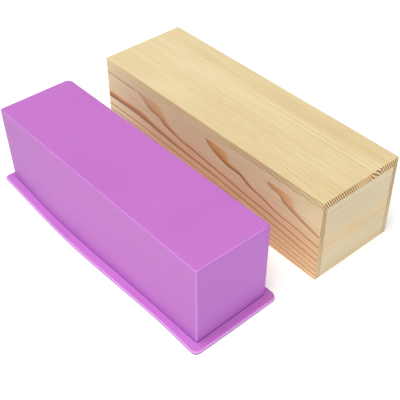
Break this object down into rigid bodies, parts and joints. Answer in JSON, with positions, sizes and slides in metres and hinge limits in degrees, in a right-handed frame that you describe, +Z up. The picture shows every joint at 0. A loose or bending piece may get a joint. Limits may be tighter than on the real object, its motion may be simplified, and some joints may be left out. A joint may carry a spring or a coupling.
{
  "type": "soap loaf mould",
  "caption": "Long open pine box and a soft flanged liner that drops into it, for casting a loaf of soap; both stand upside down, side by side.",
  "frame": {"origin": "on the plane that both pieces stand on, under the middle of the box that bounds the pair", "axes": "+X along the loaf, +Y from the liner to the wooden box, +Z up, out of the upturned bottoms of both pieces"},
  "size_m": [0.285, 0.214, 0.0829],
  "materials": {
    "pine_base": "sanded bare pine, pale yellow",
    "pine_sides": "sanded bare pine, flat-sawn, reddish tan with brown growth lines",
    "pine_ends": "sanded bare pine, fine straight grain",
    "pin_steel": "bright drawn steel wire",
    "silicone": "satin orchid-purple silicone rubber"
  },
  "bodies": {
    "wooden_box": {"base_board": "pine_base", "side_board_front": "pine_sides", "side_board_rear": "pine_sides", "end_board_left": "pine_ends", "end_board_right": "pine_ends", "base_pins": "pin_steel", "corner_pins": "pin_steel"},
    "liner": {"silicone_liner": "silicone"}
  },
  "joints": [
    {"name": "liner_lift", "type": "slide", "parent": "wooden_box", "child": "liner", "axis": [0, 0, 1], "range_m": [0, 0.1]}
  ]
}
